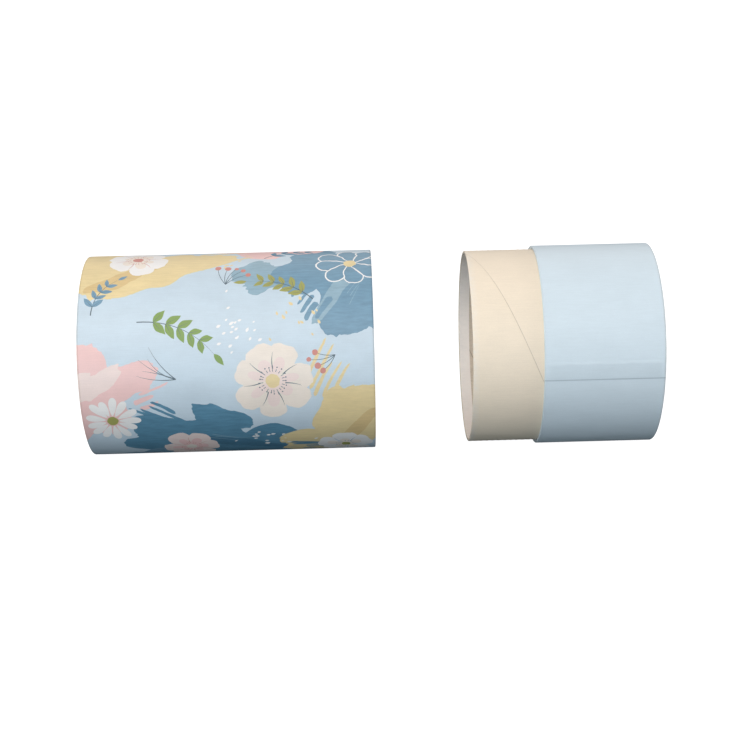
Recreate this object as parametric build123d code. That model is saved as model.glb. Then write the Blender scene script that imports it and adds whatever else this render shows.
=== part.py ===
from build123d import *
import math
import os

# Round gift tube box of wound board: a base with a glued-in neck, and a long lid that slips over the neck.
# It lies on its side with the lid drawn off. All sizes are in millimetres.
# +X runs along the tube towards the base's closed end, +Z is up and the floor is z = 0.
# The origin lies under the middle of the row, and -Y faces the viewer.

# Overall sizes
outer_diameter = 100.0
lid_length = 141.5
sleeve_length = 58.5
neck_exposed = 34.0
lid_gap = 47.1

# Boards and papers
board_wall = 1.15
neck_board_wall = 0.9
disc_thickness = 1.5
wrap_thickness = 0.2
liner_thickness = 0.2
lining_thickness = 0.2
card_thickness = 0.3
glue_line = 0.02

# Fits
slide_clearance = 0.12
disc_clearance = 0.03

# Folds and seams
hem_depth = 10.0
neck_hem_depth = 5.6
turnover_width = 10.0
card_margin = 1.5
fold_radius = 0.3
fold_skirt = 1.0
lap_width = 9.0
lap_ramp = 1.5
lap_height = 7.5

# Radii, from the outside inwards
outer_radius = outer_diameter / 2
board_outer_radius = outer_radius - wrap_thickness - glue_line
board_inner_radius = board_outer_radius - board_wall
hem_radius = board_inner_radius - glue_line
bore_radius = hem_radius - max(wrap_thickness, liner_thickness)
neck_radius = bore_radius - slide_clearance
neck_board_outer_radius = neck_radius - wrap_thickness - glue_line
neck_board_inner_radius = neck_board_outer_radius - neck_board_wall
neck_hem_radius = neck_board_inner_radius - glue_line

# Heights in a tube's own frame: zero is the face of its closed end, and its mouth is up
wrap_foot = card_thickness + glue_line
board_foot = wrap_foot + wrap_thickness + glue_line
disc_top = board_foot + disc_thickness
floor_top = disc_top + glue_line + lining_thickness
neck_foot = disc_top + glue_line
neck_mouth = sleeve_length + neck_exposed

# Places along the row
row_length = lid_length + lid_gap + neck_mouth
axis_height = outer_radius


def ring(inner_radius, outer_radius, foot, top):
    """A plain tube about Z."""
    section = Circle(outer_radius) - Circle(inner_radius)
    return Pos(0, 0, foot) * extrude(section, top - foot)


def disc(radius, foot, top):
    """A plain disc about Z."""
    return Pos(0, 0, foot) * extrude(Circle(radius), top - foot)


def polar_point(radius, angle):
    """A point of the XY plane at an angle in radians from X."""
    return (radius * math.cos(angle), radius * math.sin(angle))


def lapped_sleeve(radius, thickness, seam_angle, foot, top):
    """A paper sleeve whose end overlaps its start: it rises over the start and ends in a cut edge."""
    edge = math.radians(seam_angle)
    start = edge + lap_width / radius
    crest_end = start - lap_ramp / radius
    crest = radius + thickness
    lap = ThreePointArc(
        polar_point(crest, edge),
        polar_point(crest, (edge + crest_end) / 2),
        polar_point(crest, crest_end),
    )
    ramp = Line(polar_point(crest, crest_end), polar_point(radius, start))
    rest_of_turn = ThreePointArc(
        polar_point(radius, start),
        polar_point(radius, (edge + start) / 2 + math.pi),
        polar_point(radius, edge),
    )
    cut_edge = Line(polar_point(radius, edge), polar_point(crest, edge))
    outline = Curve() + [lap, ramp, rest_of_turn, cut_edge]
    section = make_face(outline) - Circle(radius - thickness)
    return Pos(0, 0, foot) * extrude(section, top - foot)


def mouth_fold(radius, thickness, hem_outer_radius, depth, mouth):
    """Paper folded over a mouth's rim and down inside as a hem."""
    hem_inner_radius = hem_outer_radius - thickness
    outline = Polyline(
        (radius - thickness, 0, mouth - fold_skirt),
        (radius, 0, mouth - fold_skirt),
        (radius, 0, mouth),
        (hem_inner_radius, 0, mouth),
        (hem_inner_radius, 0, mouth - depth),
        (hem_outer_radius, 0, mouth - depth),
        (hem_outer_radius, 0, mouth - thickness),
        (radius - thickness, 0, mouth - thickness),
        close=True,
    )
    section = make_face(outline)
    section = fillet(section.vertices().group_by(Axis.Z)[-1], fold_radius)
    return revolve(section, Axis.Z)


def foot_fold(radius, thickness, foot):
    """Paper turned over a closed end as a flat margin."""
    outline = Polyline(
        (radius - turnover_width, 0, foot),
        (radius, 0, foot),
        (radius, 0, foot + fold_skirt),
        (radius - thickness, 0, foot + fold_skirt),
        (radius - thickness, 0, foot + thickness),
        (radius - turnover_width, 0, foot + thickness),
        close=True,
    )
    section = make_face(outline)
    corner = section.vertices().group_by(Axis.Z)[0].sort_by(Axis.X)[-1]
    section = fillet(corner, fold_radius)
    return revolve(section, Axis.Z)


def board_tube(length):
    """The wound board tube that a lid or a base is built on."""
    return ring(board_inner_radius, board_outer_radius, board_foot, length - wrap_thickness - glue_line)


def outer_wrap(length, seam_angle):
    """The covering paper: lapped along the side, hemmed at the mouth and turned over the closed end."""
    foot = wrap_foot + fold_skirt
    top = length - fold_skirt
    sleeve = lapped_sleeve(outer_radius, wrap_thickness, seam_angle, foot, top)
    mouth = mouth_fold(outer_radius, wrap_thickness, hem_radius, hem_depth, length)
    return foot_fold(outer_radius, wrap_thickness, wrap_foot) + sleeve + mouth


def inner_liner(length):
    """The lining paper of the bore, from the disc to the hem."""
    return ring(hem_radius - liner_thickness, hem_radius, disc_top + glue_line, length - hem_depth - glue_line)


def end_disc():
    """The board disc glued into the closed end."""
    return disc(board_inner_radius - disc_clearance, board_foot, disc_top)


def end_card():
    """The thin card that covers the closed end and the turned-over margin."""
    return disc(outer_radius - card_margin, 0, card_thickness)


def floor_lining(bore):
    """The lining paper on the inner face of the closed end."""
    return disc(bore - disc_clearance, disc_top + glue_line, floor_top)


def neck_board_tube():
    """The thinner board tube glued into the base, which stands out of it as the neck."""
    top = neck_mouth - wrap_thickness - glue_line
    return ring(neck_board_inner_radius, neck_board_outer_radius, neck_foot, top)


def neck_cream_wrap():
    """The neck's cream covering paper, turned in over the mouth."""
    sleeve = ring(neck_radius - wrap_thickness, neck_radius, neck_foot, neck_mouth - fold_skirt)
    fold = mouth_fold(neck_radius, wrap_thickness, neck_hem_radius, neck_hem_depth, neck_mouth)
    return sleeve + fold


def neck_inner_liner():
    """The plain inner ply of the neck, from the floor to the hem."""
    top = neck_mouth - neck_hem_depth - glue_line
    return ring(neck_hem_radius - liner_thickness, neck_hem_radius, neck_foot, top)


def lid_place(shape):
    """The lid's closed end is at the low end of X and its mouth faces +X."""
    return Pos(-row_length / 2, 0, axis_height) * Rot(0, 90, 0) * shape


def base_place(shape):
    """The base's closed end is at the high end of X and its mouth faces -X."""
    return Pos(row_length / 2, 0, axis_height) * Rot(0, -90, 0) * shape


# The base's lap faces the viewer and the lid's is at the back, both a little above the axis
lid_seam_angle = 90 + lap_height
base_seam_angle = -90 + lap_height

nodes = {
    "lid_board_tube": lid_place(board_tube(lid_length)),
    "lid_printed_wrap": lid_place(outer_wrap(lid_length, lid_seam_angle)),
    "lid_inner_liner": lid_place(inner_liner(lid_length)),
    "lid_end_disc": lid_place(end_disc()),
    "lid_end_card": lid_place(end_card()),
    "lid_end_lining": lid_place(floor_lining(hem_radius - liner_thickness)),
    "base_board_tube": base_place(board_tube(sleeve_length)),
    "base_blue_wrap": base_place(outer_wrap(sleeve_length, base_seam_angle)),
    "base_inner_liner": base_place(inner_liner(sleeve_length)),
    "base_bottom_disc": base_place(end_disc()),
    "base_foot_card": base_place(end_card()),
    "base_floor_lining": base_place(floor_lining(neck_hem_radius - liner_thickness)),
    "neck_board_tube": base_place(neck_board_tube()),
    "neck_cream_wrap": base_place(neck_cream_wrap()),
    "neck_inner_liner": base_place(neck_inner_liner()),
}

os.makedirs("parts", exist_ok=True)
for name, shape in nodes.items():
    shape.label = name
    export_step(shape, f"parts/{name}.step")
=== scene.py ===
import math
import random

import bpy
from mathutils import Matrix, Vector, noise
from mathutils.geometry import delaunay_2d_cdt


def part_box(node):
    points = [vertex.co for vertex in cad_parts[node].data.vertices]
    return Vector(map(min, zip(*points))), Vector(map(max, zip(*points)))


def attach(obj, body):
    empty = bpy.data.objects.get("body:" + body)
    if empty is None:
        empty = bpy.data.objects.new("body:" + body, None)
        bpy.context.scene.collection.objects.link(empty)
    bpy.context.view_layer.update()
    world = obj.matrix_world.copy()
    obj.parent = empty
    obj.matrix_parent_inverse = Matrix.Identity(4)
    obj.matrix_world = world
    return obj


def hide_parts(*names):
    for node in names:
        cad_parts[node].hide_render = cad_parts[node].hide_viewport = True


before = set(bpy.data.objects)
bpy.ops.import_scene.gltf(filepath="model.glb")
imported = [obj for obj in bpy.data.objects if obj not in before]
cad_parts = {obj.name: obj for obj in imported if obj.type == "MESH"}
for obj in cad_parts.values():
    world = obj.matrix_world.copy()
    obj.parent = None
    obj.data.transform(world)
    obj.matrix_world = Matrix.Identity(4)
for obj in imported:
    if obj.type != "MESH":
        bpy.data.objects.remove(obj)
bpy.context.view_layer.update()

# Paper work is written in millimetres and turned into metres when a mesh is made
MM = 0.001
PAPER = 0.2
CARD = 0.3

# Folds: the radius of a bend and its steps, and the margin that is turned over a closed end
FOLD = 0.45
FOLD_STEPS = 5
TURNOVER = 10.0

# How far the wear and the painted shade at folds and at a card's edge reach, and how strongly the painted
# shade shows at the two mouths
CREASE = 0.5
NECK_CREASE = 0.6
CARD_CREASE = 0.8
LID_MOUTH_FOLD_SHADE = 1.0
BASE_MOUTH_FOLD_SHADE = 0.3

# The lap of the outer papers: its width, its ramp, the ease at both ends, and degrees above the axis
LAP = 9.0
LAP_RAMP = 1.5
LAP_EASE = 2.5
LAP_HEIGHT = 7.5

# The ramp wavers, and its slope is measured across a small probe
RAMP_WAVER = 0.25
WAVER_ALONG = 0.21
WAVER_ACROSS = 0.5
WAVER_LAYER = 3.0
PROBE = 0.2

# Painted shadow and dust on the lap's cut edge and on the sheet beside it, and a faint painted shade over the
# glued band
EDGE_LINE = 0.7
EDGE_LINE_REACH = 0.3
EDGE_DUST_AND_SHADOW_REACH = 0.6
# The glued band of the lap is painted slightly darker, as shade
LAP_BAND_SHADE = 0.12

# The neck's covering ply is wound as a spiral whose edges nearly meet
SEAM_GAP = 0.14
SEAM_PITCH = 129.3
SEAM_AT_SLEEVE = 5.7
SEAM_LINE_REACH = 0.35

# Its seam line, dust with painted shadow, fades towards the mouth, and the paper is paler on one side of it
SEAM_FADE = 22.0
SEAM_FAINTEST = 0.3
SEAM_PALE = 0.8
SEAM_PALE_AT = 0.6
SEAM_PALE_REACH = 0.3

# The inner plies are wound the other way
LINER_GAP = 0.3
LINER_PITCH = -118.0
LINER_TURN = 2.0
LINER_LINE_REACH = 0.5

# Mesh steps: degrees round a tube, millimetres along it, and the close steps at edges and at lines
FACET = 2.0
WRAP_STEP = 1.5
PLY_STEP = 3.0
EDGE_STEPS = (0.25, 0.6)
LINE_STEPS = (-0.6, -0.3, 0.0, 0.3, 0.6)
CLOSEST_STEP = 0.3

# Cards are polygons, with rings inside their edge where the shading changes
CARD_SIDES = 120
CARD_RINGS = (0.3, CARD_CREASE)

# Points this near are joined where a sheet is cut, and no part of a path counts as shorter than the least
JOINED = 0.0005
LEAST = 1e-9

# The camera stands where the photograph was taken from
VIEW_AZIMUTH = 1.06
VIEW_ELEVATION = 29.0
VIEW_ROLL = -0.98
VIEW_DISTANCE = 0.789
VIEW_AIM = Vector((0.00184, 0.0, 0.03455))
LENS = 73.9
SENSOR = 36.0
CLIP_START = 0.05

# Studio light: a level of 1 makes a white surface that faces it white
SKY_LEVEL = 0.575
SKY_TINT = (0.99, 1.0, 1.02)
HORIZON = 0.04

# Soft boxes: name, place from the middle in metres, width, height, level and tint
SOFT_BOXES = (
    ("key", (-0.45, -0.5, 1.15), 0.9, 0.5, 0.244, (1.11, 1.0, 0.88)),
    ("side_fill", (-0.45, -1.1, 1.0), 0.6, 0.6, 0.18, (1.07, 1.0, 1.0)),
    ("front_fill", (-0.32, -1.45, 0.13), 0.7, 0.5, 0.29, (0.80, 1.0, 1.12)),
    ("back_fill", (0.2, 1.3, 0.9), 1.2, 0.8, 0.095, (1.0, 1.0, 1.0)),
    ("foot_fill", (1.5, -0.15, 0.22), 0.9, 0.4, 0.45, (1.0, 1.0, 1.0)),
    ("lid_end_fill", (-1.5, -0.15, 0.22), 0.9, 0.4, 0.25, (1.0, 1.0, 1.0)),
)

# The floor glows white, and its own grey adds next to nothing
FLOOR_REACH = 4.0
FLOOR_GREY = (0.2, 0.2, 0.2, 1.0)
FLOOR_ROUGHNESS = 0.9
FLOOR_SHEEN = 0.1
WHITE = (1.0, 1.0, 1.0, 1.0)

# Colours of the inks, as red, green and blue in linear light
INK_COLOURS = {
    "sky": (0.52, 0.62, 0.695),
    "sand": (0.72, 0.585, 0.32),
    "deep_sand": (0.64, 0.48, 0.24),
    "slate": (0.165, 0.295, 0.40),
    "pale_slate": (0.27, 0.40, 0.48),
    "teal": (0.095, 0.23, 0.335),
    "deep_teal": (0.065, 0.17, 0.26),
    "pink": (0.775, 0.52, 0.50),
    "pale_pink": (0.78, 0.64, 0.60),
    "coral": (0.56, 0.23, 0.19),
    "cream": (0.78, 0.70, 0.62),
    "white": (0.80, 0.785, 0.77),
    "leaf": (0.20, 0.31, 0.08),
    "olive": (0.33, 0.33, 0.10),
    "line": (0.09, 0.13, 0.16),
}
INK_OF = {name: index for index, name in enumerate(INK_COLOURS)}

# The blush on a petal by its ink, and how strongly brush marks show in an ink
BLUSH = {"cream": "pale_pink", "white": "cream", "pale_pink": "pink"}
BRUSHED = {"slate": 0.11, "pale_slate": 0.1, "teal": 0.15, "deep_teal": 0.15, "sand": 0.05, "deep_sand": 0.07}

# Colours of the papers and boards
PALE_BLUE = (0.595, 0.69, 0.75)
NECK_CREAM = (0.805, 0.70, 0.56)
KRAFT = (0.66, 0.56, 0.45)
BOARD = (0.36, 0.27, 0.18)
CORE = (0.78, 0.76, 0.72)
# The hem's bare paper, painted lighter than paper can be, as light inside the mouth
BARE_PAINTED_LIGHTER = (1.0, 0.92, 0.85)

# Tints that darken a colour: painted shade in a fold, and dust with painted shadow in a seam
FOLD_SHADE_TINT = (0.55, 0.50, 0.46)
SEAM_DUST_AND_SHADOW = (0.45, 0.45, 0.45)
CREAM_SEAM_DUST_AND_SHADOW = (0.50, 0.43, 0.36)
BLUE_SEAM_DUST_AND_SHADOW = (0.38, 0.43, 0.46)
CORE_SHADE = 0.85


def node_box(name):
    """A CAD node's lowest and highest corner in millimetres."""
    low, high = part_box(name)
    return low / MM, high / MM


def node_radius(name):
    low, high = node_box(name)
    return (high.z - low.z) / 2


lid_low, lid_high = node_box("lid_printed_wrap")
lid_liner_high = node_box("lid_inner_liner")[1]
base_low, base_high = node_box("base_blue_wrap")
base_liner_low = node_box("base_inner_liner")[0]
neck_low, neck_high = node_box("neck_cream_wrap")
neck_liner_low = node_box("neck_inner_liner")[0]
AXIS = (base_low.z + base_high.z) / 2
RADIUS = node_radius("base_blue_wrap")
BORE = node_radius("lid_inner_liner") - PAPER
NECK_RADIUS = node_radius("neck_cream_wrap")
NECK_BORE = node_radius("neck_inner_liner") - PAPER
CARD_RADIUS = node_radius("base_foot_card")


class Tube:
    """A tube that lies along X. Its closed end is at foot, and its mouth faces way, +1 or -1."""

    def __init__(self, foot, way):
        self.foot = foot
        self.way = way

    def along(self, x):
        """How far a place on X lies from the closed end."""
        return (x - self.foot) * self.way

    def point(self, along, radius, turn):
        """The turn is measured from the viewer's side upwards, in radians."""
        x = self.foot + self.way * along
        return Vector((x, -radius * math.cos(turn), AXIS + radius * math.sin(turn)))

    def direction(self, along, outwards, turn):
        return Vector((self.way * along, -outwards * math.cos(turn), outwards * math.sin(turn)))


LID = Tube(lid_low.x, 1)
BASE = Tube(base_high.x, -1)


# Where sheets of paper lie. Every place function takes s, the way walked along the sheet, and t, the way
# round it, and gives the point, the direction that the sheet faces, its wear and painted fold shade, and the
# strength of a seam line of dust and painted shadow


class FoldedPath:
    """The way a sheet runs along a tube and round its rims: corners of (along, radius), each rounded."""

    def __init__(self, corners):
        self.rows = []
        self.points = []
        self.normals = []
        self.folds = []
        corners = [Vector(corner) for corner in corners]
        self._add(corners[0], self._normal(corners[0], corners[1]))
        for before, corner, after in zip(corners, corners[1:], corners[2:]):
            self._bend(before, corner, after)
        self._add(corners[-1], self._normal(corners[-2], corners[-1]))
        self.length = self.rows[-1]

    def _normal(self, start, end):
        step = (end - start).normalized()
        return Vector((-step.y, step.x))

    def _add(self, point, normal):
        walked = self.rows[-1] + (point - self.points[-1]).length if self.rows else 0.0
        self.rows.append(walked)
        self.points.append(point)
        self.normals.append(normal)

    def _bend(self, before, corner, after):
        into = self._normal(before, corner)
        out = self._normal(corner, after)
        centre = corner - (into + out) * FOLD
        for step in range(FOLD_STEPS + 1):
            normal = into.slerp(out, step / FOLD_STEPS)
            self._add(centre + normal * FOLD, normal)
            self.folds.append(self.rows[-1])

    def at(self, walked):
        """The point and the normal at a distance walked along the path."""
        end = 1
        while end < len(self.rows) - 1 and walked > self.rows[end]:
            end += 1
        start = end - 1
        span = max(self.rows[end] - self.rows[start], LEAST)
        share = min(max((walked - self.rows[start]) / span, 0.0), 1.0)
        point = self.points[start].lerp(self.points[end], share)
        return point, self.normals[start].lerp(self.normals[end], share).normalized()

    def near_fold(self, walked, reach):
        """1 at a fold and 0 further than reach from it."""
        gap = min((abs(walked - fold) for fold in self.folds), default=reach)
        return max(0.0, 1.0 - gap / reach)


class LappedSheet:
    """An outer paper whose cut edge lies over its start. t is the arc length from the viewer's side, and
    hand is 1 where t grows towards the cut edge and -1 where it shrinks."""

    def __init__(self, tube, mouth, liner_mouth, edge_turn, hand, mouth_fold_shade):
        self.tube = tube
        self.hand = hand
        self.mouth_fold_shade = mouth_fold_shade
        length = tube.along(mouth)
        hem_end = length - abs(mouth - liner_mouth)
        self.path = FoldedPath(
            [(0, RADIUS - TURNOVER), (0, RADIUS), (length, RADIUS), (length, BORE), (hem_end, BORE)]
        )
        self.side = self.path.rows[FOLD_STEPS + 1 : FOLD_STEPS + 3]
        self.edge = edge_turn * RADIUS
        self.covered = self.edge - hand * 2 * math.pi * RADIUS
        self.start = self.covered - hand * (LAP - LAP_RAMP)
        self.lapped = (self.side[0] + LAP_EASE, self.side[1] - LAP_EASE)
        creases = (self.side[0] + CREASE, self.side[1] - CREASE)
        self.rows = sorted([*self.path.rows, *creases, *self.lapped])
        ramp = self.edge - hand * LAP
        low, high = sorted((self.start, self.edge))
        self.around = edge_steps(low, high, facet(RADIUS), (self.covered, ramp, ramp + hand * LAP_RAMP))

    def rise(self, s, t):
        """How far the sheet is lifted where it lies over its own start."""
        to_edge = abs(self.edge - t)
        waver = noise.noise(Vector((s * WAVER_ALONG, to_edge * WAVER_ACROSS, WAVER_LAYER)))
        climb = (LAP - to_edge) / LAP_RAMP + RAMP_WAVER * waver
        inside = min(s - self.side[0], self.side[1] - s) / LAP_EASE
        return PAPER * min(max(climb, 0.0), 1.0) * min(max(inside, 0.0), 1.0)

    def wear_and_shade(self, s):
        """Painted shade in the creases, which may be fainter at the mouth."""
        fold_shade = self.mouth_fold_shade if s > (self.side[0] + self.side[1]) / 2 else 1.0
        return fold_shade * self.path.near_fold(s, CREASE)

    def line(self, t, lift):
        """Painted shadow and dust along the cut edge, and a faint painted shade where the sheet is glued onto
        its start.
        """
        edge_line = EDGE_LINE - abs(self.edge - t) / EDGE_LINE_REACH
        beyond = self.hand * (t - self.covered)
        dust_and_shadow = 1.0 - beyond / EDGE_DUST_AND_SHADOW_REACH if beyond > -EDGE_LINE_REACH else 0.0
        # The glued band under the lift gets a faint painted shade
        return max(edge_line, dust_and_shadow, LAP_BAND_SHADE * lift / PAPER)

    def place(self, s, t):
        point, normal = self.path.at(s)
        lift = self.rise(s, t)
        slope = (self.rise(s, t + PROBE) - self.rise(s, t - PROBE)) / (2 * PROBE)
        dip = (self.rise(s + PROBE, t) - self.rise(s - PROBE, t)) / (2 * PROBE)
        turn = t / RADIUS
        spot = self.tube.point(point.x + normal.x * lift, point.y + normal.y * lift, turn)
        facing = self.tube.direction(normal.x, normal.y, turn)
        uphill = Vector((0, math.sin(turn), math.cos(turn)))
        facing -= slope * uphill + dip * Vector((self.tube.way, 0, 0))
        return spot, facing.normalized(), self.wear_and_shade(s), self.line(t, lift)

    def cut_away(self, s, t):
        """The start that lies under the lap doesn't reach the folds."""
        under = self.hand * (t - self.covered) < 0
        return under and not self.lapped[0] < s < self.lapped[1]


def spiralled(tube, path, radius, gap, pitch, turn_at, along_at, shading):
    """Places a ply wound as a spiral. t runs from one edge of it to the other, and shading gives its wear
    and its seam line."""
    width = 2 * math.pi * radius - gap

    def place(s, t):
        point, normal = path.at(s)
        seam = turn_at + (point.x - along_at) / pitch * 2 * math.pi
        turn = seam + (t + gap / 2) / radius
        wear_and_shade, line = shading(s, point.x, t, width)
        return tube.point(point.x, point.y, turn), tube.direction(normal.x, normal.y, turn), wear_and_shade, line

    return place, edge_steps(0.0, width, facet(radius))


def neck_shading(path):
    """The wear, and the seam line of dust and painted shadow, of the neck's covering ply."""
    mouth = max(point.x for point in path.points)

    def shading(s, along, t, width):
        share = min(max((mouth - along) / SEAM_FADE, 0.0), 1.0)
        strength = SEAM_FAINTEST + (1 - SEAM_FAINTEST) * share
        line = strength * max(1.0 - min(t, width - t) / SEAM_LINE_REACH, 0.0)
        marked = SEAM_PALE * strength * max(1.0 - abs(t - SEAM_PALE_AT) / SEAM_PALE_REACH, 0.0)
        return max(marked, path.near_fold(s, NECK_CREASE)), line

    return shading


def liner_shading(s, along, t, width):
    """An inner ply has no worn folds, and its seam line of dust and painted shadow is equally strong all
    along.
    """
    return 0.0, max(1.0 - min(t, width - t) / LINER_LINE_REACH, 0.0)


def on_end(tube, along):
    """Places a flat card on a tube's closed end."""

    def place(s, t):
        spot = Vector((tube.foot + tube.way * along, s, AXIS + t))
        # The card's rim is marked like a fold, which is painted shade on blue paper and inks
        wear_and_shade = max(0.0, 1.0 - (CARD_RADIUS - math.hypot(s, t)) / CARD_CREASE)
        return spot, Vector((-tube.way, 0, 0)), wear_and_shade, 0.0

    return place


# Panels are flat sheets, as points, faces and the number of each face's material


def facet(radius):
    """The arc of one facet."""
    return math.radians(FACET) * radius


def even_steps(low, high, size):
    count = max(1, round((high - low) / size))
    return [low + (high - low) * i / count for i in range(count + 1)]


def edge_steps(low, high, size, lines=()):
    """Even steps, with a few close ones at both ends and at lines, where the shading changes quickly."""
    close = [low, high]
    for step in EDGE_STEPS:
        close += [low + step, high - step]
    for line in lines:
        close += [line + step for step in LINE_STEPS]
    inner = [x for x in even_steps(low, high, size) if min(abs(x - c) for c in close) > CLOSEST_STEP]
    return sorted(close + inner)


def without_loose_points(points, faces):
    used = sorted({corner for face in faces for corner in face})
    renumbered = {corner: place for place, corner in enumerate(used)}
    return [tuple(points[c]) for c in used], [tuple(renumbered[c] for c in face) for face in faces]


def plain_panel(across, around, bare_from=math.inf, cut_away=None):
    """A sheet as a grid of quads. It is bare from bare_from on, and cut_away names the cells left out."""
    points = [(s, t) for s in across for t in around]
    row = len(around)
    faces = []
    inks = []
    for i in range(len(across) - 1):
        for j in range(row - 1):
            if cut_away and cut_away((across[i] + across[i + 1]) / 2, (around[j] + around[j + 1]) / 2):
                continue
            corner = i * row + j
            faces.append((corner, corner + row, corner + row + 1, corner + 1))
            inks.append(1 if across[i] >= bare_from else 0)
    return without_loose_points(points, faces) + (inks,)


def extent(points):
    """The lowest and highest s, and the lowest and highest t."""
    along, around = zip(*points)
    return min(along), max(along), min(around), max(around)


def printed_panel(outline, guides, motifs):
    """A sheet cut along the outline of every motif. guides are lines that the sheet bends at."""
    points = list(outline)
    areas = [list(range(len(outline)))]
    inks = [0]
    edges = []
    for start, end in guides:
        edges.append((len(points), len(points) + 1))
        points += [start, end]
    low_s, high_s, low_t, high_t = extent(outline)
    for ink, shape in motifs:
        from_s, to_s, from_t, to_t = extent(shape)
        if to_s < low_s or from_s > high_s or to_t < low_t or from_t > high_t:
            continue
        doubled_area = sum(a[0] * b[1] - b[0] * a[1] for a, b in zip(shape, shape[1:] + shape[:1]))
        if doubled_area < 0:
            shape = shape[::-1]
        areas.append(list(range(len(points), len(points) + len(shape))))
        inks.append(ink)
        points += shape
    flat = [Vector(point) for point in points]
    cut_points, _, faces, _, _, sources = delaunay_2d_cdt(flat, edges, areas, 0, JOINED, True)
    on_sheet = [(face, inks[max(source)]) for face, source in zip(faces, sources) if 0 in source]
    sheet_inks = [ink for face, ink in on_sheet]
    return without_loose_points(cut_points, [face for face, ink in on_sheet]) + (sheet_inks,)


def new_object(name, data):
    made = bpy.data.objects.new(name, data)
    bpy.context.scene.collection.objects.link(made)
    return made


def sheet_piece(name, panel, place, thickness, materials, body, nodes):
    """Makes a sheet of paper from a flat panel: a printed face, a back, and the cut edges between them."""
    points, faces, inks = panel
    spots, facings, wear_and_shade, lines = zip(*(place(s, t) for s, t in points))
    count = len(spots)
    a, b, c = faces[0][:3]
    if (spots[b] - spots[a]).cross(spots[c] - spots[a]).dot(facings[a]) < 0:
        faces = [tuple(reversed(face)) for face in faces]
    walked = set()
    for face in faces:
        walked.update(zip(face, face[1:] + face[:1]))
    rims = [(b, a, a + count, b + count) for a, b in walked if (b, a) not in walked]
    backs = [tuple(corner + count for corner in reversed(face)) for face in faces]
    front_spots = [spot * MM for spot in spots]
    back_spots = [(spot - facing * thickness) * MM for spot, facing in zip(spots, facings)]
    core = len(materials) - 1
    mesh = bpy.data.meshes.new(name)
    mesh.from_pydata(front_spots + back_spots, [], list(faces) + backs + rims)
    mesh.polygons.foreach_set("material_index", list(inks) + [core] * (len(backs) + len(rims)))
    mesh.polygons.foreach_set("use_smooth", [True] * len(mesh.polygons))
    # The fold marks, wear and painted shade, and the seam lines, dust and painted shadow, go on as attributes
    for attribute, values in (("wear_and_shade", wear_and_shade), ("seam", lines)):
        field = mesh.attributes.new(attribute, "FLOAT", "POINT")
        field.data.foreach_set("value", values * 2)
    normals = []
    for polygon in mesh.polygons:
        for corner in polygon.vertices:
            if polygon.index < len(faces):
                normals.append(facings[corner])
            elif polygon.index < 2 * len(faces):
                normals.append(-facings[corner - count])
            else:
                normals.append(polygon.normal)
    for material in materials:
        mesh.materials.append(material)
    mesh.normals_split_custom_set(normals)
    piece = new_object(name, mesh)
    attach(piece, body)
    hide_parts(*nodes)


# Outlines are closed lines in millimetres, drawn about their own origin and then placed

# How far apart the seeds, and the two directions of a wobble, lie in the noise
WOBBLE_LAYER = 7.3
WOBBLE_SHIFT = Vector((40, 0, 0))

WASH_POINTS = 140
WASH_LOBES = (0.17, 0.13, 0.09, 0.05, 0.0, 0.035, 0.0, 0.025)
WASH_WOBBLE = 0.3
WASH_GRAIN = 0.9

# The streaks at a wash's ends: width, length and gain, their layer of the noise, and the finer ones
STREAK_WIDTH = 3.2
STREAK_PULL = 1.8
STREAK_GAIN = 1.6
STREAK_LAYER = 3.1
FINE_STREAKS = 0.6
FINE_SCALE = 2.7
FINE_LAYER = 9.0

PETAL_POINTS = 26
PETAL_BASE = 0.45
PETAL_FLARE = 0.75
NOTCH_SHARPNESS = 5

LEAF_STEPS = 12
LEAF_BELLY = 0.85
LEAF_UNDERSIDE = 0.9

STROKE_STEPS = 14
STREAK_STEPS = 16
STREAK_TAPER = 0.45
STREAK_SQUARENESS = 9


def placed(shape, spot, angle):
    c = math.cos(math.radians(angle))
    s = math.sin(math.radians(angle))
    return [(spot[0] + x * c - y * s, spot[1] + x * s + y * c) for x, y in shape]


def placed_point(point, spot, angle):
    return placed([point], spot, angle)[0]


def hand_drawn(shape, amount, grain, seed):
    """The same outline with the small wobble of a brush."""
    drawn = []
    for (x, y), (next_x, next_y) in zip(shape, shape[1:] + shape[:1]):
        pieces = max(1, round(math.hypot(next_x - x, next_y - y) / grain))
        for i in range(pieces):
            px = x + (next_x - x) * i / pieces
            py = y + (next_y - y) * i / pieces
            where = Vector((px / grain / 2, py / grain / 2, seed * WOBBLE_LAYER))
            wobble = (noise.noise(where), noise.noise(where + WOBBLE_SHIFT))
            drawn.append((px + amount * wobble[0], py + amount * wobble[1]))
    return drawn


def disc(radius, sides=20):
    turns = [2 * math.pi * i / sides for i in range(sides)]
    return [(radius * math.cos(turn), radius * math.sin(turn)) for turn in turns]


def frayed(shape, seed):
    """The outline with its two ends drawn out into streaks along x."""
    along = Vector((1.0, 0.0))
    across = Vector((0.0, 1.0))
    streaked = []
    for before, point, after in zip(shape[-1:] + shape[:-1], shape, shape[1:] + shape[:1]):
        edge = Vector(after) - Vector(before)
        facing = Vector((edge.y, -edge.x)).normalized().dot(along)
        row = Vector(point).dot(across) / STREAK_WIDTH
        coarse = noise.noise(Vector((row, seed * STREAK_LAYER, facing)))
        fine = noise.noise(Vector((row * FINE_SCALE, seed, FINE_LAYER)))
        pull = coarse + FINE_STREAKS * fine
        moved = Vector(point) + along * (STREAK_PULL * facing * abs(facing) * pull * STREAK_GAIN)
        streaked.append((moved.x, moved.y))
    return streaked


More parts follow.
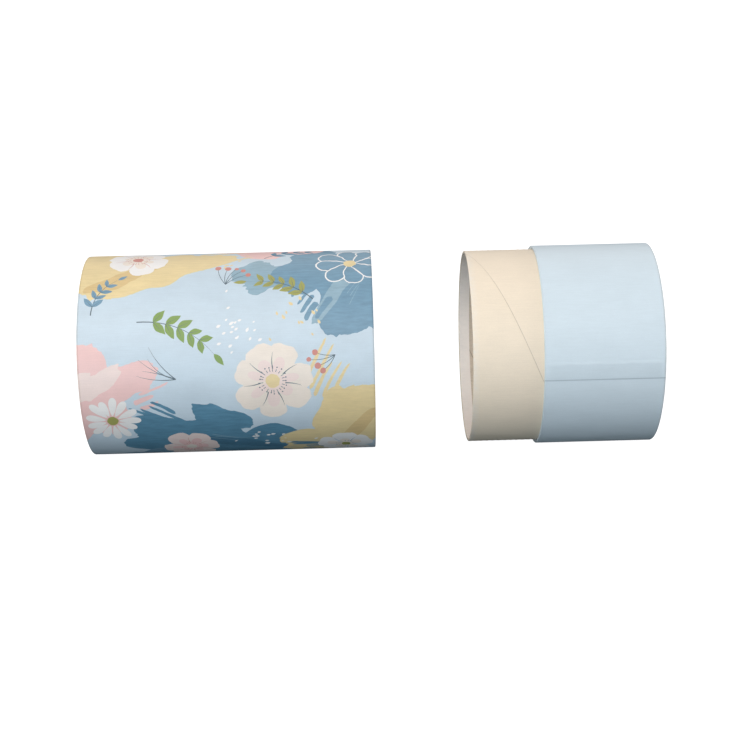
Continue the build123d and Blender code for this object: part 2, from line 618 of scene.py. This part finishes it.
def petal(length, width, notch=0.0):
    """Narrow at the origin and round at the tip, which may be notched."""
    shape = []
    for i in range(PETAL_POINTS):
        angle = 2 * math.pi * i / PETAL_POINTS
        x = length * (1 - math.cos(angle)) / 2
        y = width / 2 * math.sin(angle) * (PETAL_BASE + PETAL_FLARE * x / length)
        dent = notch * math.exp(-((y / width * NOTCH_SHARPNESS) ** 2)) if x > length / 2 else 0.0
        shape.append((x - dent, y))
    return shape


def shrunk(shape, width):
    """The shape that is left inside a line of this width along its outline."""
    centre = Vector((sum(p[0] for p in shape), sum(p[1] for p in shape))) / len(shape)
    inner = []
    for point in shape:
        spoke = Vector(point) - centre
        moved = centre + spoke * max(0.0, 1 - width / max(spoke.length, width))
        inner.append((moved.x, moved.y))
    return inner


def leaf(length, width):
    """Pointed at both ends."""
    upper = []
    for i in range(LEAF_STEPS + 1):
        share = i / LEAF_STEPS
        upper.append((length * share, width / 2 * math.sin(math.pi * share**LEAF_BELLY)))
    lower = [(x, -y * LEAF_UNDERSIDE) for x, y in upper[-2:0:-1]]
    return upper + lower


def bow(length, rise, share):
    """A point of a shallow arc from the origin along x."""
    return length * share, 4 * rise * share * (1 - share)


def bow_slope(length, rise, share):
    return math.atan2(4 * rise * (1 - 2 * share), length)


def stroke(length, rise, width, tip=0.15):
    """A bowed line that thins towards its end."""
    upper, lower = [], []
    for i in range(STROKE_STEPS + 1):
        share = i / STROKE_STEPS
        x, y = bow(length, rise, share)
        slope = bow_slope(length, rise, share)
        half = width / 2 * (1 - (1 - tip) * share)
        upper.append((x - half * math.sin(slope), y + half * math.cos(slope)))
        lower.append((x + half * math.sin(slope), y - half * math.cos(slope)))
    return upper + lower[::-1]


def streak(length, rise, width):
    """A bowed dab of a nearly dry brush: round at both ends and thinner towards the second."""
    upper, lower = [], []
    for i in range(STREAK_STEPS + 1):
        share = i / STREAK_STEPS
        x, y = bow(length, rise, share)
        end = max(0.0, 1 - abs(2 * share - 1) ** STREAK_SQUARENESS) ** 0.5
        half = width / 2 * (1 - STREAK_TAPER * share) * end
        upper.append((x, y + half))
        lower.append((x, y - half))
    return upper + lower[-2:0:-1]


# Motifs are lists of (ink, outline). Each takes its place first, and its ink, angle and seed last. The
# numbers in them are shares of a motif's size, lines and wobbles in millimetres, and spreads in degrees


def wash(spot, length, width, ink, angle, seed):
    """A loose brushed area with soft lobes, a little streaky at its two ends."""
    chance = random.Random(seed)
    phases = [chance.uniform(0, 2 * math.pi) for lobe in WASH_LOBES]
    shape = []
    for i in range(WASH_POINTS):
        turn = 2 * math.pi * i / WASH_POINTS
        reach = 1.0
        for waves, (lobe, phase) in enumerate(zip(WASH_LOBES, phases), start=2):
            reach += lobe * math.sin(waves * turn + phase)
        shape.append((length / 2 * reach * math.cos(turn), width / 2 * reach * math.sin(turn)))
    shape = hand_drawn(frayed(shape, seed), WASH_WOBBLE, WASH_GRAIN, seed)
    return [(ink, placed(shape, spot, angle))]


def dot(spot, radius, ink, wobble, seed, sides=20):
    """A round dab of a brush."""
    return ink, placed(hand_drawn(disc(radius, sides), wobble, 0.8, seed), spot, 0)


def blossom(spot, size, petals, ink, crease_ink, heart_ink, angle, seed):
    """A round flower: petals with a blush and a few drawn creases, a heart and a ring of stamens."""
    chance = random.Random(seed)
    shapes = []
    blushes = []
    for i in range(petals):
        turn = angle + 360 * i / petals + chance.uniform(-5, 5)
        long = size / 2 * chance.uniform(0.92, 1.06)
        wide = size * 2.5 / petals * chance.uniform(0.95, 1.1)
        shape = hand_drawn(petal(long, wide, size * 0.025), size * 0.018, 1.2, seed + i)
        shapes.append((ink, placed(shape, spot, turn)))
        blush = petal(long * chance.uniform(0.5, 0.68), wide * chance.uniform(0.3, 0.45))
        blushes.append((BLUSH[ink], placed(blush, spot, turn + chance.uniform(-3, 3))))
    shapes += blushes
    crease = stroke(size * 0.2, size * 0.01, size * 0.014)
    for i in range(petals):
        turn = angle + 360 * (i + 0.5) / petals + chance.uniform(-4, 4)
        start = placed_point((size * 0.15, 0), spot, turn)
        shapes.append((crease_ink, placed(crease, start, turn)))
    shapes.append(dot(spot, size * 0.085, heart_ink, 0.5, seed))
    stamens = petals * 3
    filament = stroke(size * 0.035, 0, size * 0.008, 0.8)
    for i in range(stamens):
        turn = 360 * i / stamens + chance.uniform(-4, 4)
        start = placed_point((size * 0.115, 0), spot, turn)
        end = placed_point((size * chance.uniform(0.15, 0.18), 0), spot, turn)
        shapes.append((crease_ink, placed(filament, start, turn)))
        shapes.append((crease_ink, placed(disc(size * 0.009, 8), end, 0)))
    return shapes


def daisy(spot, size, petals, ink, heart_ink, angle, seed):
    """Many slim separate petals round a heart."""
    chance = random.Random(seed)
    shapes = []
    for i in range(petals):
        turn = angle + 360 * i / petals + chance.uniform(-4, 4)
        long = size * 0.38 * chance.uniform(0.88, 1.05)
        start = placed_point((size * 0.12, 0), spot, turn)
        shapes.append((ink, placed(petal(long, size * 2.1 / petals), start, turn)))
    shapes.append(dot(spot, size * 0.1, heart_ink, 0.4, seed))
    return shapes


def line_blossom(spot, size, petals, line_ink, fill_ink, heart_ink, angle, seed):
    """A flower drawn with pale outlines round darker petals."""
    chance = random.Random(seed)
    shapes = []
    for i in range(petals):
        turn = angle + 360 * i / petals + chance.uniform(-6, 6)
        long = size / 2 * chance.uniform(0.9, 1.08)
        shape = hand_drawn(petal(long, size * 2.6 / petals), size * 0.02, 1.2, seed + i)
        shapes.append((line_ink, placed(shape, spot, turn)))
        shapes.append((fill_ink, placed(shrunk(shape, chance.uniform(0.5, 0.9)), spot, turn)))
    shapes.append(dot(spot, size * 0.09, heart_ink, 0.5, seed))
    return shapes


def sprig(spot, length, rise, pairs, leaf_length, leaf_width, ink, stem_ink, angle, seed):
    """A bowed stem with leaves in pairs and one at its tip."""
    chance = random.Random(seed)
    shapes = [(stem_ink, placed(stroke(length, rise, 0.55), spot, angle))]
    for i in range(pairs):
        share = 0.18 + 0.74 * i / pairs
        joint = placed_point(bow(length, rise, share), spot, angle)
        slope = math.degrees(bow_slope(length, rise, share))
        for side in (-1, 1):
            size = (1.05 - 0.4 * share) * chance.uniform(0.9, 1.1)
            shape = hand_drawn(leaf(leaf_length * size, leaf_width * size), 0.25, 1.0, seed + i)
            lean = angle + slope + side * chance.uniform(36, 54)
            rib = stroke(leaf_length * size * 0.7, 0, 0.28)
            shapes.append((ink, placed(shape, joint, lean)))
            shapes.append((stem_ink, placed(rib, joint, lean)))
    tip = placed_point(bow(length, rise, 1.0), spot, angle)
    slope = math.degrees(bow_slope(length, rise, 1.0))
    shapes.append((ink, placed(leaf(leaf_length * 0.8, leaf_width * 0.7), tip, angle + slope)))
    return shapes


def berries(spot, length, count, ink, stem_ink, angle, seed):
    """A stem that forks into berries."""
    chance = random.Random(seed)
    shapes = []
    for i in range(count):
        lean = angle + (i - (count - 1) / 2) * 19 + chance.uniform(-4, 4)
        long = length * chance.uniform(0.7, 1.0)
        shapes.append((stem_ink, placed(stroke(long, long * 0.08, 0.35, 0.6), spot, lean)))
        end = placed_point(bow(long, long * 0.08, 1.0), spot, lean)
        shapes.append(dot(end, chance.uniform(1.1, 1.6), ink, 0.2, seed + i, 14))
    return shapes


def reeds(spot, length, count, ink, angle, seed):
    """A fan of thin grass strokes."""
    chance = random.Random(seed)
    shapes = []
    for i in range(count):
        lean = angle + (i - (count - 1) / 2) * 11 + chance.uniform(-4, 4)
        long = length * chance.uniform(0.65, 1.0)
        blade = stroke(long, long * chance.uniform(-0.12, 0.12), 0.5)
        shapes.append((ink, placed(blade, spot, lean)))
    return shapes


def scatter(spot, spread, count, ink, angle, seed):
    """Small dabs of a brush, all leaning one way."""
    chance = random.Random(seed)
    shapes = []
    for i in range(count):
        where = (spot[0] + chance.gauss(0, spread[0]), spot[1] + chance.gauss(0, spread[1]))
        size = chance.uniform(0.6, 1.25)
        dab = leaf(2.3 * size, 1.3 * size)
        shapes.append((ink, placed(dab, where, angle + chance.uniform(-25, 25))))
    return shapes


def dry_brush(spot, length, width, count, ink, angle, seed):
    """Parallel streaks, as a dry brush leaves at the end of a wash."""
    chance = random.Random(seed)
    shapes = []
    for i in range(count):
        offset = width * (i / max(1, count - 1) - 0.5)
        start = placed_point((chance.uniform(-0.25, 0.1) * length, offset), spot, angle)
        long = length * chance.uniform(0.45, 1.0)
        shape = streak(long, chance.uniform(-0.8, 0.8), width / count * chance.uniform(0.55, 1.1))
        lean = angle + chance.uniform(-3, 3)
        shapes.append((ink, placed(hand_drawn(shape, 0.3, 1.1, seed + i), start, lean)))
    return shapes


def scratches(spot, length, width, count, ink, angle, seed):
    """A few hair-thin lines beside each other."""
    chance = random.Random(seed)
    shapes = []
    for i in range(count):
        offset = width * (i / count - 0.5)
        start = placed_point((chance.uniform(-0.2, 0.2) * length, offset), spot, angle)
        long = length * chance.uniform(0.5, 1.0)
        hair = stroke(long, chance.uniform(-0.08, 0.08) * long, 0.32, 0.4)
        shapes.append((ink, placed(hair, start, angle + chance.uniform(-6, 6))))
    return shapes


# The lid's print, from the lowest layer up. Places are (along the lid from its closed end, up round it
# from the side that faces the viewer), and the rest is as in the motif's own function
LID_PRINT = (
    (wash, (12, 76), 46, 40, "sand", 70, 2),
    (wash, (40, 74), 58, 30, "sand", 26, 3),
    (wash, (20, 66), 34, 10, "deep_sand", 30, 4),
    (wash, (-2, 0), 46, 54, "pink", 60, 8),
    (wash, (22, 12), 26, 20, "pink", 20, 7),
    (wash, (6, 10), 28, 13, "pale_pink", 36, 9),
    (wash, (88, 66), 30, 22, "pale_slate", 30, 10),
    (wash, (136, 62), 58, 48, "slate", 84, 12),
    (wash, (112, 74), 40, 34, "slate", 40, 14),
    (wash, (124, 56), 36, 9, "pale_slate", 58, 13),
    (wash, (46, -24), 56, 34, "teal", -16, 15),
    (wash, (84, -34), 60, 34, "teal", 4, 18),
    (wash, (66, -14), 34, 20, "teal", -34, 19),
    (wash, (72, -30), 54, 9, "deep_teal", -14, 16),
    (wash, (28, -48), 36, 20, "slate", 12, 21),
    (wash, (134, -14), 50, 40, "sand", 56, 27),
    (wash, (112, -36), 40, 30, "sand", 20, 26),
    (wash, (130, -22), 34, 9, "deep_sand", 52, 28),
    (wash, (80, 100), 40, 26, "pink", -24, 33),
    (wash, (102, 98), 34, 22, "pink", 10, 36),
    (dry_brush, (58, 82), 28, 18, 9, "sand", 26, 5),
    (dry_brush, (104, -40), 28, 16, 7, "teal", -2, 17),
    (dry_brush, (114, 6), 30, 15, 5, "sand", 62, 29),
    (dry_brush, (26, 4), 16, 14, 5, "pink", 24, 30),
    (dry_brush, (112, 52), 22, 16, 5, "slate", 238, 31),
    (dry_brush, (44, -12), 26, 10, 5, "teal", 150, 22),
    (scratches, (60, -22), 20, 5, 3, "pale_slate", -12, 81),
    (scratches, (128, 50), 16, 6, 3, "pale_slate", 60, 82),
    (scratches, (98, -38), 14, 5, 3, "pale_slate", 8, 83),
    (scratches, (20, -50), 12, 4, 2, "pale_slate", 14, 84),
    (reeds, (46, 12), 22, 5, "line", 150, 35),
    (scatter, (76, 36), (8, 7), 24, "white", 40, 61),
    (scatter, (62, 76), (12, 5), 12, "sand", 30, 62),
    (scatter, (104, 38), (7, 6), 12, "sand", 120, 63),
    (scatter, (84, -30), (9, 4), 16, "white", 20, 64),
    (sprig, (28, 40), 40, 5, 5, 9, 4.4, "leaf", "line", -24, 41),
    (sprig, (112, 50), 34, -4, 5, 8, 3.6, "olive", "line", 160, 43),
    (berries, (70, 60), 15, 5, "coral", "line", 70, 47),
    (berries, (122, 22), 13, 4, "coral", "line", 200, 48),
    (blossom, (92, 10), 40, 7, "cream", "line", "sand", 12, 51),
    (blossom, (26, 84), 32, 6, "white", "coral", "coral", 40, 52),
    (daisy, (14, -10), 27, 13, "white", "olive", 0, 53),
    (blossom, (50, -34), 30, 6, "pale_pink", "coral", "cream", 5, 54),
    (line_blossom, (130, 74), 34, 8, "white", "slate", "sand", 8, 55),
    (blossom, (126, -36), 28, 5, "white", "slate", "olive", 22, 56),
    (sprig, (88, 82), 30, 4, 4, 7.5, 3.4, "teal", "line", 20, 57),
    (sprig, (6, 44), 24, 3, 4, 6.5, 3.0, "slate", "line", 60, 58),
)

# Its copies, half a turn apart, that reach all round the sheet
PRINT_COPIES = range(-3, 3)

# The print of the lid's end card, with places from its centre
END_PRINT = (
    (wash, (-22, 18), 46, 30, "sand", 35, 71),
    (wash, (24, -22), 44, 26, "teal", 20, 72),
    (wash, (26, 26), 30, 24, "pink", 0, 73),
    (sprig, (2, 2), 34, 4, 5, 8, 3.6, "leaf", "line", 140, 74),
    (berries, (10, 12), 14, 5, "coral", "line", 40, 75),
    (blossom, (6, -6), 34, 7, "cream", "line", "sand", 0, 76),
    (daisy, (-26, -20), 22, 12, "white", "olive", 0, 77),
    (scatter, (-8, -34), (9, 4), 14, "white", 10, 78),
)


def drawn_print(motifs):
    """All outlines of a print, each with the number of its ink."""
    shapes = []
    for motif, *values in motifs:
        shapes += motif(*values)
    return [(INK_OF[ink], shape) for ink, shape in shapes]


# Materials

# Noise: the size of its clouds along x, y and z in millimetres, its detail and its roughness
CLOUDS = ((16, 11, 11), 3.0, 0.6)
LAID_LINES = ((9.0, 0.42, 0.42), 3.0, 0.55)
SPECKS = ((0.5, 0.5, 0.5), 2.0, 0.5)
BRUSH_MARKS = ((7.0, 1.3, 1.3), 4.0, 0.65)
UNEVEN_PATCHES = ((3.0, 1.6, 1.6), 4.0, 0.7)
DENTS = ((26, 7, 7), 2.0, 0.5)
DENT_DEPTH = 6.0

# How much of the fibre shows as laid lines, and how much as specks
LAID_SHARE = 0.5
SPECK_SHARE = 0.4

# The values between which most of a noise lies
NOISE_RANGE = (0.3, 0.7)
PATCH_RANGE = (0.42, 0.62)
SUM_RANGE = (0.7, 1.3)

# How far the colour may change, and how much of its dust and painted shadow a seam shows
CHANGE_RANGE = (-0.3, 0.3)
DUST_AND_SHADOW_RANGE = (0.55, 0.85)
ROUGHNESS_SPREAD = 0.07


def shade(colour, amount):
    return tuple(channel * amount for channel in colour)


def tinted(colour, tint):
    return tuple(channel * part for channel, part in zip(colour, tint))


# The plain papers and boards, as the values of paper_material
PAPERS = {
    "paper_core": dict(colour=CORE, rough=0.7, fibre=0.08),
    "blue_paper": dict(
        colour=PALE_BLUE,
        rough=0.48,
        blotch=0.018,
        brush=0.012,
        fibre=0.035,
        wear_and_shade_amount=0.45,
        # Its folds are painted darker, as shade
        wear_and_shade=tinted(PALE_BLUE, FOLD_SHADE_TINT),
        patches=0.7,
        dust_and_shadow=BLUE_SEAM_DUST_AND_SHADOW,
    ),
    "blue_paper_core": dict(colour=shade(PALE_BLUE, CORE_SHADE), rough=0.7, fibre=0.08),
    "cream_paper": dict(colour=NECK_CREAM, rough=0.6, blotch=0.02, wear_and_shade_amount=0.5, dust_and_shadow=CREAM_SEAM_DUST_AND_SHADOW),
    "kraft_lining": dict(
        colour=KRAFT, rough=0.75, blotch=0.07, brush=0.04, fibre=0.16, wear_and_shade_amount=0.2, grain_depth=0.02
    ),
    "raw_board": dict(colour=BOARD, rough=0.85, blotch=0.12, brush=0.1, fibre=0.2, grain_depth=0.03),
    # Painted lighter, as light inside the neck's mouth
    "bare_paper_painted_lighter": dict(colour=BARE_PAINTED_LIGHTER, rough=0.6, blotch=0.03, wear_and_shade_amount=0.3),
}
INK_PAPER = dict(rough=0.46, blotch=0.04, wear_and_shade_amount=0.45, patches=0.7)

# The materials of the CAD pieces that keep their own shape
CAD_FINISH = {
    "raw_board": ("lid_board_tube", "lid_end_disc", "base_board_tube", "base_bottom_disc", "neck_board_tube"),
    "kraft_lining": ("lid_end_lining", "base_floor_lining", "base_inner_liner"),
}


def node(tree, kind, **values):
    """A shader node with its properties and inputs set by name."""
    made = tree.nodes.new(kind)
    for name, value in values.items():
        if name in made.inputs:
            made.inputs[name].default_value = value
        else:
            setattr(made, name, value)
    return made


def stretched_noise(tree, stretch, detail, roughness):
    """Noise in millimetres, longer along the tube where stretch says so."""
    where = node(tree, "ShaderNodeTexCoord")
    sized = node(tree, "ShaderNodeMapping")
    sized.inputs["Scale"].default_value = [1 / MM / size for size in stretch]
    tree.links.new(where.outputs["Object"], sized.inputs["Vector"])
    cloud = node(tree, "ShaderNodeTexNoise", Scale=1.0, Detail=detail, Roughness=roughness)
    tree.links.new(sized.outputs["Vector"], cloud.inputs["Vector"])
    return cloud.outputs["Fac"]


def ranged(tree, value, span, to_low, to_high):
    """The value with span stretched to the range from to_low to to_high."""
    made = node(tree, "ShaderNodeMapRange")
    made.inputs["From Min"].default_value = span[0]
    made.inputs["From Max"].default_value = span[1]
    made.inputs["To Min"].default_value = to_low
    made.inputs["To Max"].default_value = to_high
    tree.links.new(value, made.inputs["Value"])
    return made.outputs["Result"]


def maths(tree, operation, a, b):
    made = node(tree, "ShaderNodeMath", operation=operation)
    for socket, value in zip(made.inputs, (a, b)):
        if isinstance(value, float):
            socket.default_value = value
        else:
            tree.links.new(value, socket)
    return made.outputs[0]


def mixed_colour(tree, share, a, b):
    made = node(tree, "ShaderNodeMix", data_type="RGBA")
    tree.links.new(share, made.inputs["Factor"])
    for socket, value in zip((made.inputs[6], made.inputs[7]), (a, b)):
        if isinstance(value, tuple):
            socket.default_value = (*value, 1.0)
        else:
            tree.links.new(value, socket)
    return made.outputs[2]


def paper_material(
    name,
    colour,
    rough,
    blotch=0.05,
    brush=0.0,
    fibre=0.05,
    wear_and_shade_amount=0.0,
    wear_and_shade=CORE,
    patches=0.25,
    dust_and_shadow=SEAM_DUST_AND_SHADOW,
    grain_depth=0.012,
):
    """Printed or dyed paper: cloudy colour, laid lines along the tube, stray fibres, worn folds, painted
    shade in the folds of blue paper and inks, and seam lines of dust and painted shadow.
    """
    made = bpy.data.materials.new(name)
    made.use_nodes = True
    tree = made.node_tree
    surface = tree.nodes["Principled BSDF"]

    clouds = stretched_noise(tree, *CLOUDS)
    laid = stretched_noise(tree, *LAID_LINES)
    specks = stretched_noise(tree, *SPECKS)
    tint = ranged(tree, clouds, NOISE_RANGE, -blotch, blotch)
    lines = ranged(tree, laid, NOISE_RANGE, -fibre * LAID_SHARE, fibre * LAID_SHARE)
    grit = ranged(tree, specks, NOISE_RANGE, -fibre * SPECK_SHARE, fibre * SPECK_SHARE)
    change = maths(tree, "ADD", maths(tree, "ADD", tint, lines), grit)
    if brush:
        marks = stretched_noise(tree, *BRUSH_MARKS)
        change = maths(tree, "ADD", change, ranged(tree, marks, NOISE_RANGE, -brush, brush))
    level = ranged(tree, change, CHANGE_RANGE, 0.0, 1.0)
    darkest, lightest = (shade(colour, 1 + limit) for limit in CHANGE_RANGE)
    inked = mixed_colour(tree, level, darkest, lightest)

    # Folds are mixed towards a fold colour: the core where plain papers are worn, and a darker tint as
    # painted shade on blue paper and inks
    edge = node(tree, "ShaderNodeAttribute", attribute_name="wear_and_shade")
    patchy = ranged(tree, stretched_noise(tree, *UNEVEN_PATCHES), PATCH_RANGE, patches, 1.0)
    wear_and_shade_share = maths(tree, "MULTIPLY", maths(tree, "MULTIPLY", edge.outputs["Fac"], patchy), wear_and_shade_amount)
    marked = mixed_colour(tree, wear_and_shade_share, inked, wear_and_shade)
    # Seam lines are darkened towards a tint of dust with painted shadow
    seam = node(tree, "ShaderNodeAttribute", attribute_name="seam")
    uneven = ranged(tree, patchy, (0.0, 1.0), *DUST_AND_SHADOW_RANGE)
    dust_and_shadow_share = maths(tree, "MULTIPLY", seam.outputs["Fac"], uneven)
    lined = mixed_colour(tree, dust_and_shadow_share, marked, tinted(colour, dust_and_shadow))
    tree.links.new(lined, surface.inputs["Base Color"])

    gloss = maths(tree, "ADD", clouds, specks)
    roughness = ranged(tree, gloss, SUM_RANGE, rough - ROUGHNESS_SPREAD, rough + ROUGHNESS_SPREAD)
    tree.links.new(roughness, surface.inputs["Roughness"])
    surface.inputs["Specular IOR Level"].default_value = 0.5

    dents = maths(tree, "MULTIPLY", stretched_noise(tree, *DENTS), DENT_DEPTH)
    relief = maths(tree, "ADD", dents, maths(tree, "ADD", laid, specks))
    bump = node(tree, "ShaderNodeBump", Strength=1.0, Distance=grain_depth * MM)
    tree.links.new(relief, bump.inputs["Height"])
    tree.links.new(bump.outputs["Normal"], surface.inputs["Normal"])
    return made


def ink_material(ink, colour):
    """The paper where it is printed with one ink."""
    # The ink's folds are painted darker, as shade
    fold_shade = tinted(colour, FOLD_SHADE_TINT)
    return paper_material(f"ink_{ink}", colour, brush=BRUSHED.get(ink, 0.0), wear_and_shade=fold_shade, **INK_PAPER)


# Pieces


def make_lid_wrap(materials):
    edge_turn = math.pi - math.radians(LAP_HEIGHT)
    sheet = LappedSheet(LID, lid_high.x, lid_liner_high.x, edge_turn, 1, LID_MOUTH_FOLD_SHADE)
    length, covered, edge = sheet.path.length, sheet.covered, sheet.edge
    guides = [((0, t), (length, t)) for t in sheet.around[1:-1] if t > covered]
    guides += [((s, covered), (s, edge)) for s in sheet.rows[1:-1]]
    near, far = sheet.lapped
    outline = [
        (0, covered),
        (near, covered),
        (near, sheet.start),
        (far, sheet.start),
        (far, covered),
        (length, covered),
        (length, edge),
        (0, edge),
    ]
    half_turn = math.pi * RADIUS
    one_repeat = drawn_print(LID_PRINT)
    motifs = []
    for copy in PRINT_COPIES:
        for ink, shape in one_repeat:
            motifs.append((ink, [(x + sheet.side[0], y + copy * half_turn) for x, y in shape]))
    panel = printed_panel(outline, guides, motifs)
    sheet_piece(
        "lid_wrap", panel, sheet.place, PAPER, materials, "lid", ["lid_printed_wrap"]
    )


def make_base_wrap(materials):
    edge_turn = math.radians(LAP_HEIGHT)
    sheet = LappedSheet(BASE, base_low.x, base_liner_low.x, edge_turn, -1, BASE_MOUTH_FOLD_SHADE)
    across = sorted(set(sheet.rows + even_steps(*sheet.lapped, WRAP_STEP)))
    panel = plain_panel(across, sheet.around, cut_away=sheet.cut_away)
    sheet_piece("base_wrap", panel, sheet.place, PAPER, materials, "base", ["base_blue_wrap"])


def make_neck_wrap(materials):
    foot = BASE.along(neck_high.x)
    mouth = BASE.along(neck_low.x)
    hem_end = mouth - (neck_liner_low.x - neck_low.x)
    path = FoldedPath([(foot, NECK_RADIUS), (mouth, NECK_RADIUS), (mouth, NECK_BORE), (hem_end, NECK_BORE)])
    turn_at = math.radians(SEAM_AT_SLEEVE)
    sleeve = BASE.along(base_low.x)
    shading = neck_shading(path)
    place, around = spiralled(BASE, path, NECK_RADIUS, SEAM_GAP, SEAM_PITCH, turn_at, sleeve, shading)
    across = sorted(set(path.rows + even_steps(0, path.rows[1], PLY_STEP)))
    hem_start = path.rows[2 * (FOLD_STEPS + 1)]
    # The hem inside the mouth is bare paper painted lighter, as light
    panel = plain_panel(across, around, bare_from=hem_start)
    sheet_piece("neck_wrap", panel, place, PAPER, materials, "base", ["neck_cream_wrap"])


def make_liner(name, tube, bore, materials, body, node_name):
    low, high = node_box(node_name)
    floor, top = sorted((tube.along(low.x), tube.along(high.x)))
    path = FoldedPath([(top, bore), (floor, bore)])
    place, around = spiralled(tube, path, bore, LINER_GAP, LINER_PITCH, LINER_TURN, 0.0, liner_shading)
    panel = plain_panel(even_steps(0, path.length, PLY_STEP), around)
    sheet_piece(name, panel, place, PAPER, materials, body, [node_name])


def make_end_card(name, tube, materials, motifs, body, node_name):
    low, high = node_box(node_name)
    along = min(tube.along(low.x), tube.along(high.x))
    guides = []
    for inset in CARD_RINGS:
        ring = disc(CARD_RADIUS - inset, CARD_SIDES)
        guides += zip(ring, ring[1:] + ring[:1])
    panel = printed_panel(disc(CARD_RADIUS, CARD_SIDES), guides, motifs)
    sheet_piece(name, panel, on_end(tube, along), CARD, materials, body, [node_name])


def make_pieces():
    inks = [ink_material(ink, colour) for ink, colour in INK_COLOURS.items()]
    papers = {name: paper_material(name, **values) for name, values in PAPERS.items()}
    printed = inks + [papers["paper_core"]]
    blue = [papers["blue_paper"], papers["blue_paper_core"]]
    cream = [papers["cream_paper"], papers["bare_paper_painted_lighter"], papers["kraft_lining"]]
    lining = [papers["kraft_lining"], papers["raw_board"]]
    make_lid_wrap(printed)
    make_base_wrap(blue)
    make_neck_wrap(cream)
    make_liner("lid_liner", LID, BORE, lining, "lid", "lid_inner_liner")
    make_liner("neck_liner", BASE, NECK_BORE, lining, "base", "neck_inner_liner")
    make_end_card("lid_card", LID, printed, drawn_print(END_PRINT), "lid", "lid_end_card")
    blue_card = [papers["blue_paper"], papers["paper_core"]]
    make_end_card("base_card", BASE, blue_card, [], "base", "base_foot_card")
    for paper, names in CAD_FINISH.items():
        for name in names:
            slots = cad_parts[name].data.materials
            slots.clear()
            slots.append(papers[paper])


# Floor, light and camera


def make_floor():
    low, high = -FLOOR_REACH, FLOOR_REACH
    mesh = bpy.data.meshes.new("floor")
    mesh.from_pydata([(low, low, 0), (high, low, 0), (high, high, 0), (low, high, 0)], [], [(0, 1, 2, 3)])
    floor = new_object("floor", mesh)
    pale = bpy.data.materials.new("floor_white")
    pale.use_nodes = True
    surface = pale.node_tree.nodes["Principled BSDF"]
    surface.inputs["Base Color"].default_value = FLOOR_GREY
    surface.inputs["Roughness"].default_value = FLOOR_ROUGHNESS
    surface.inputs["Specular IOR Level"].default_value = FLOOR_SHEEN
    surface.inputs["Emission Color"].default_value = WHITE
    surface.inputs["Emission Strength"].default_value = 1.0
    mesh.materials.append(pale)
    floor.visible_diffuse = False
    floor.visible_glossy = False


def make_area_light(name, spot, target, width, height, level, colour):
    """A soft box whose light makes a facing white surface as bright as level."""
    data = bpy.data.lights.new(name, "AREA")
    data.shape = "RECTANGLE"
    data.size = width
    data.size_y = height
    data.energy = level * math.pi**2 * (target - spot).length_squared
    data.color = colour
    light = new_object(name, data)
    aimed = (target - spot).to_track_quat("-Z", "Y").to_matrix().to_4x4()
    light.matrix_world = Matrix.Translation(spot) @ aimed


def make_sky():
    """Soft light from above the horizon, behind a white backdrop."""
    world = bpy.data.worlds.new("studio")
    world.use_nodes = True
    tree = world.node_tree
    where = node(tree, "ShaderNodeTexCoord")
    split = node(tree, "ShaderNodeSeparateXYZ")
    tree.links.new(where.outputs["Generated"], split.inputs["Vector"])
    level = ranged(tree, split.outputs["Z"], (-HORIZON, HORIZON), 0.0, SKY_LEVEL)
    light = tree.nodes["Background"]
    light.inputs["Color"].default_value = (*SKY_TINT, 1.0)
    tree.links.new(level, light.inputs["Strength"])
    backdrop = node(tree, "ShaderNodeBackground", Color=WHITE, Strength=1.0)
    seen = node(tree, "ShaderNodeLightPath")
    choice = node(tree, "ShaderNodeMixShader")
    tree.links.new(seen.outputs["Is Camera Ray"], choice.inputs[0])
    tree.links.new(light.outputs["Background"], choice.inputs[1])
    tree.links.new(backdrop.outputs["Background"], choice.inputs[2])
    tree.links.new(choice.outputs["Shader"], tree.nodes["World Output"].inputs["Surface"])
    bpy.context.scene.world = world


def make_lights():
    middle = Vector((0, 0, AXIS * MM))
    for name, offset, width, height, level, tint in SOFT_BOXES:
        make_area_light(name, middle + Vector(offset), middle, width, height, level, tint)
    make_sky()


def make_camera():
    azimuth = math.radians(VIEW_AZIMUTH)
    elevation = math.radians(VIEW_ELEVATION)
    roll = math.radians(VIEW_ROLL)
    level_reach = math.cos(elevation)
    forward = Vector((math.sin(azimuth) * level_reach, math.cos(azimuth) * level_reach, -math.sin(elevation)))
    level_right = forward.cross(Vector((0, 0, 1))).normalized()
    level_up = level_right.cross(forward)
    right = level_right * math.cos(roll) + level_up * math.sin(roll)
    up = right.cross(forward)
    data = bpy.data.cameras.new("camera")
    data.lens = LENS
    data.sensor_width = SENSOR
    data.clip_start = CLIP_START
    camera = new_object("camera", data)
    turned = Matrix((right, up, -forward)).transposed().to_4x4()
    camera.matrix_world = Matrix.Translation(VIEW_AIM - forward * VIEW_DISTANCE) @ turned
    bpy.context.scene.camera = camera


bpy.context.scene.view_settings.view_transform = "Standard"
make_pieces()
make_floor()
make_lights()
make_camera()
